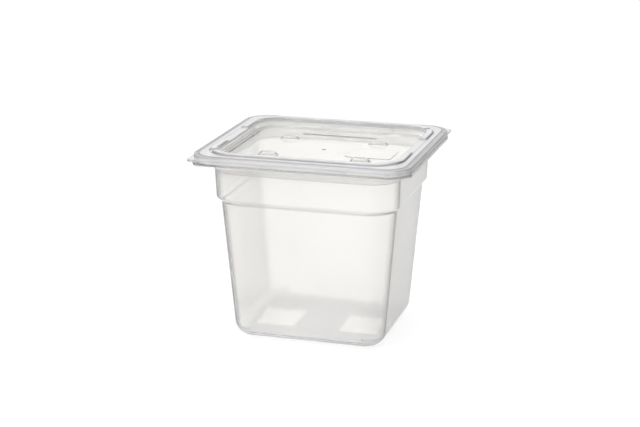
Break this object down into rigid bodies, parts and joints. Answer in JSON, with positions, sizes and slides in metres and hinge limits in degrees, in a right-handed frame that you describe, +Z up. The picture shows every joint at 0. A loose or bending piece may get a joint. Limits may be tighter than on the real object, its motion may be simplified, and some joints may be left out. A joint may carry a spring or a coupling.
{
  "type": "food pan",
  "caption": "Deep translucent sixth-size food pan with tapered walls, a collar and a hanging rim, closed by a lift-off lid with a recessed panel and two corner pull tabs.",
  "frame": {"origin": "middle of the pan's flat underside, on the surface it stands on", "axes": "+X along the long side of the rim, +Y along the short side towards the back, +Z up the pan's depth"},
  "size_m": [0.176, 0.162, 0.1572],
  "materials": {
    "pan_plastic": "translucent natural polypropylene, smooth with a faint milky haze",
    "lid_plastic": "translucent natural polypropylene, smooth with a faint milky haze"
  },
  "bodies": {
    "pan_body": {"pan": "pan_plastic"},
    "lid_body": {"lid": "lid_plastic"}
  },
  "joints": [
    {"name": "lid_lift", "type": "slide", "parent": "pan_body", "child": "lid_body", "axis": [0, 0, 1], "range_m": [0, 0.04]}
  ]
}
